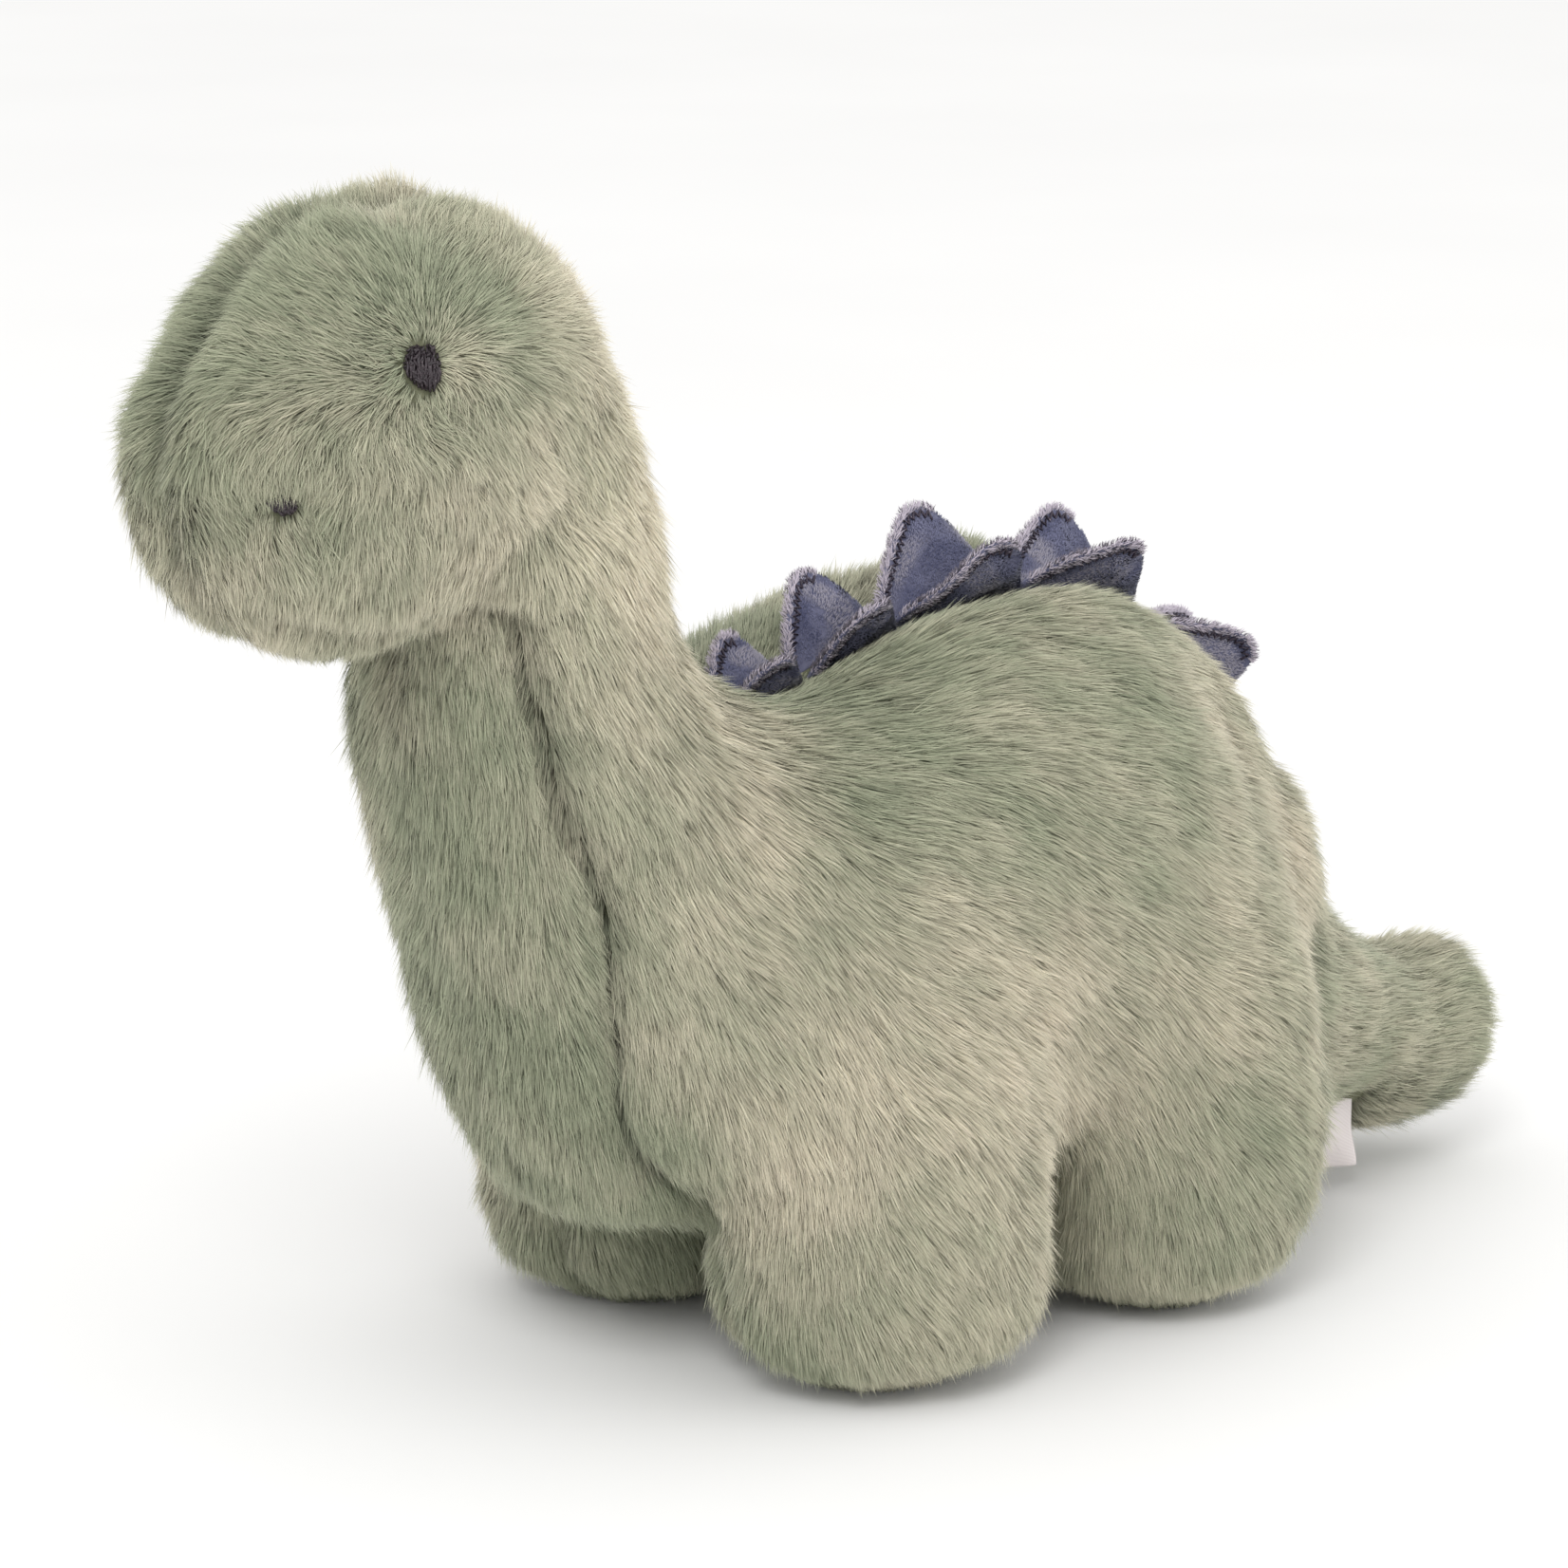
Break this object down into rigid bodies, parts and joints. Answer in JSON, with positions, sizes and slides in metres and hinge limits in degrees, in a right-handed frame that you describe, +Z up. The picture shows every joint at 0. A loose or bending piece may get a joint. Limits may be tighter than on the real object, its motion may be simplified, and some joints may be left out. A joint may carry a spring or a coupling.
{
  "type": "stuffed toy dinosaur",
  "caption": "Long-necked plush dinosaur on stubby legs, with padded velour back plates, embroidered eyes and a soft filled body; neck, head, tail and plates bend.",
  "frame": {"origin": "middle of the overall length and width, on the surface the feet stand on", "axes": "+Z up, +X towards the tail (the toy faces -X), its left side faces -Y"},
  "size_m": [0.4067, 0.158, 0.2844],
  "materials": {
    "plush": "long soft pile, sage green with paler tips, laid flat",
    "velour": "short slate-blue velour",
    "overlock_thread": "dark twisted polyester thread",
    "embroidery": "dark brown satin stitch",
    "satin": "blank woven satin tape",
    "filling": "white polyester fibre"
  },
  "bodies": {
    "torso": {"body_side_left": "plush", "body_side_right": "plush", "underside_gusset": "plush", "body_fill": "filling", "front_leg_fill_left": "filling", "front_leg_fill_right": "filling", "rear_leg_fill_left": "filling", "rear_leg_fill_right": "filling"},
    "neck": {"neck_side_left": "plush", "neck_side_right": "plush", "throat_gusset": "plush", "neck_fill": "filling"},
    "head": {"head_side_left": "plush", "head_side_right": "plush", "head_fill": "filling", "eye_left": "embroidery", "eye_right": "embroidery", "nostril_left": "embroidery", "nostril_right": "embroidery"},
    "tail": {"tail_side_left": "plush", "tail_side_right": "plush", "tail_fill": "filling"},
    "label": {"label": "satin"},
    "plate_1_left": {"plate_1_left_velour": "velour", "plate_1_left_wadding": "filling", "plate_1_left_thread": "overlock_thread"},
    "plate_1_right": {"plate_1_right_velour": "velour", "plate_1_right_wadding": "filling", "plate_1_right_thread": "overlock_thread"},
    "plate_2_left": {"plate_2_left_velour": "velour", "plate_2_left_wadding": "filling", "plate_2_left_thread": "overlock_thread"},
    "plate_2_right": {"plate_2_right_velour": "velour", "plate_2_right_wadding": "filling", "plate_2_right_thread": "overlock_thread"},
    "plate_3_left": {"plate_3_left_velour": "velour", "plate_3_left_wadding": "filling", "plate_3_left_thread": "overlock_thread"},
    "plate_3_right": {"plate_3_right_velour": "velour", "plate_3_right_wadding": "filling", "plate_3_right_thread": "overlock_thread"},
    "plate_4_left": {"plate_4_left_velour": "velour", "plate_4_left_wadding": "filling", "plate_4_left_thread": "overlock_thread"},
    "plate_4_right": {"plate_4_right_velour": "velour", "plate_4_right_wadding": "filling", "plate_4_right_thread": "overlock_thread"},
    "plate_5_left": {"plate_5_left_velour": "velour", "plate_5_left_wadding": "filling", "plate_5_left_thread": "overlock_thread"},
    "plate_5_right": {"plate_5_right_velour": "velour", "plate_5_right_wadding": "filling", "plate_5_right_thread": "overlock_thread"}
  },
  "joints": [
    {"name": "neck_bend", "type": "hinge", "parent": "torso", "child": "neck", "pos_m": [-0.092, 0, 0.137], "axis": [0, 1, 0], "range_deg": [-15, 15], "stiffness_Nm_per_rad": 1.2},
    {"name": "head_turn", "type": "hinge", "parent": "neck", "child": "head", "pos_m": [-0.114, 0, 0.212], "axis": [0, 0, 1], "range_deg": [-28, 28], "stiffness_Nm_per_rad": 0.5},
    {"name": "tail_wag", "type": "hinge", "parent": "torso", "child": "tail", "pos_m": [0.124, 0, 0.053], "axis": [0, 0, 1], "range_deg": [-20, 20], "stiffness_Nm_per_rad": 0.5},
    {"name": "label_flap", "type": "hinge", "parent": "tail", "child": "label", "pos_m": [0.137, -0.016, 0.027], "axis": [1, 0, 0], "range_deg": [-40, 8], "stiffness_Nm_per_rad": 0.0005},
    {"name": "plate_1_left_flop", "type": "hinge", "parent": "torso", "child": "plate_1_left", "pos_m": [-0.04608, -0.0034, 0.15741], "axis": [0.9866, 0, 0.1632], "range_deg": [-18, 14], "stiffness_Nm_per_rad": 0.003},
    {"name": "plate_1_right_flop", "type": "hinge", "parent": "torso", "child": "plate_1_right", "pos_m": [-0.04608, 0.0034, 0.15741], "axis": [0.9866, 0, 0.1632], "range_deg": [-20, 12], "stiffness_Nm_per_rad": 0.003},
    {"name": "plate_2_left_flop", "type": "hinge", "parent": "torso", "child": "plate_2_left", "pos_m": [-0.02086, -0.0034, 0.1627], "axis": [0.9577, 0, 0.2878], "range_deg": [-18, 14], "stiffness_Nm_per_rad": 0.003},
    {"name": "plate_2_right_flop", "type": "hinge", "parent": "torso", "child": "plate_2_right", "pos_m": [-0.02086, 0.0034, 0.1627], "axis": [0.9577, 0, 0.2878], "range_deg": [-20, 12], "stiffness_Nm_per_rad": 0.003},
    {"name": "plate_3_left_flop", "type": "hinge", "parent": "torso", "child": "plate_3_left", "pos_m": [0.0082, -0.0034, 0.17085], "axis": [0.9944, 0, 0.1059], "range_deg": [-18, 14], "stiffness_Nm_per_rad": 0.003},
    {"name": "plate_3_right_flop", "type": "hinge", "parent": "torso", "child": "plate_3_right", "pos_m": [0.0082, 0.0034, 0.17085], "axis": [0.9944, 0, 0.1059], "range_deg": [-20, 12], "stiffness_Nm_per_rad": 0.003},
    {"name": "plate_4_left_flop", "type": "hinge", "parent": "torso", "child": "plate_4_left", "pos_m": [0.04873, -0.0034, 0.17433], "axis": [0.9722, 0, -0.2343], "range_deg": [-18, 14], "stiffness_Nm_per_rad": 0.003},
    {"name": "plate_4_right_flop", "type": "hinge", "parent": "torso", "child": "plate_4_right", "pos_m": [0.04873, 0.0034, 0.17433], "axis": [0.9722, 0, -0.2343], "range_deg": [-20, 12], "stiffness_Nm_per_rad": 0.003},
    {"name": "plate_5_left_flop", "type": "hinge", "parent": "torso", "child": "plate_5_left", "pos_m": [0.09609, -0.0034, 0.15682], "axis": [0.5336, 0, -0.8457], "range_deg": [-18, 14], "stiffness_Nm_per_rad": 0.003},
    {"name": "plate_5_right_flop", "type": "hinge", "parent": "torso", "child": "plate_5_right", "pos_m": [0.09609, 0.0034, 0.15682], "axis": [0.5336, 0, -0.8457], "range_deg": [-20, 12], "stiffness_Nm_per_rad": 0.003}
  ]
}
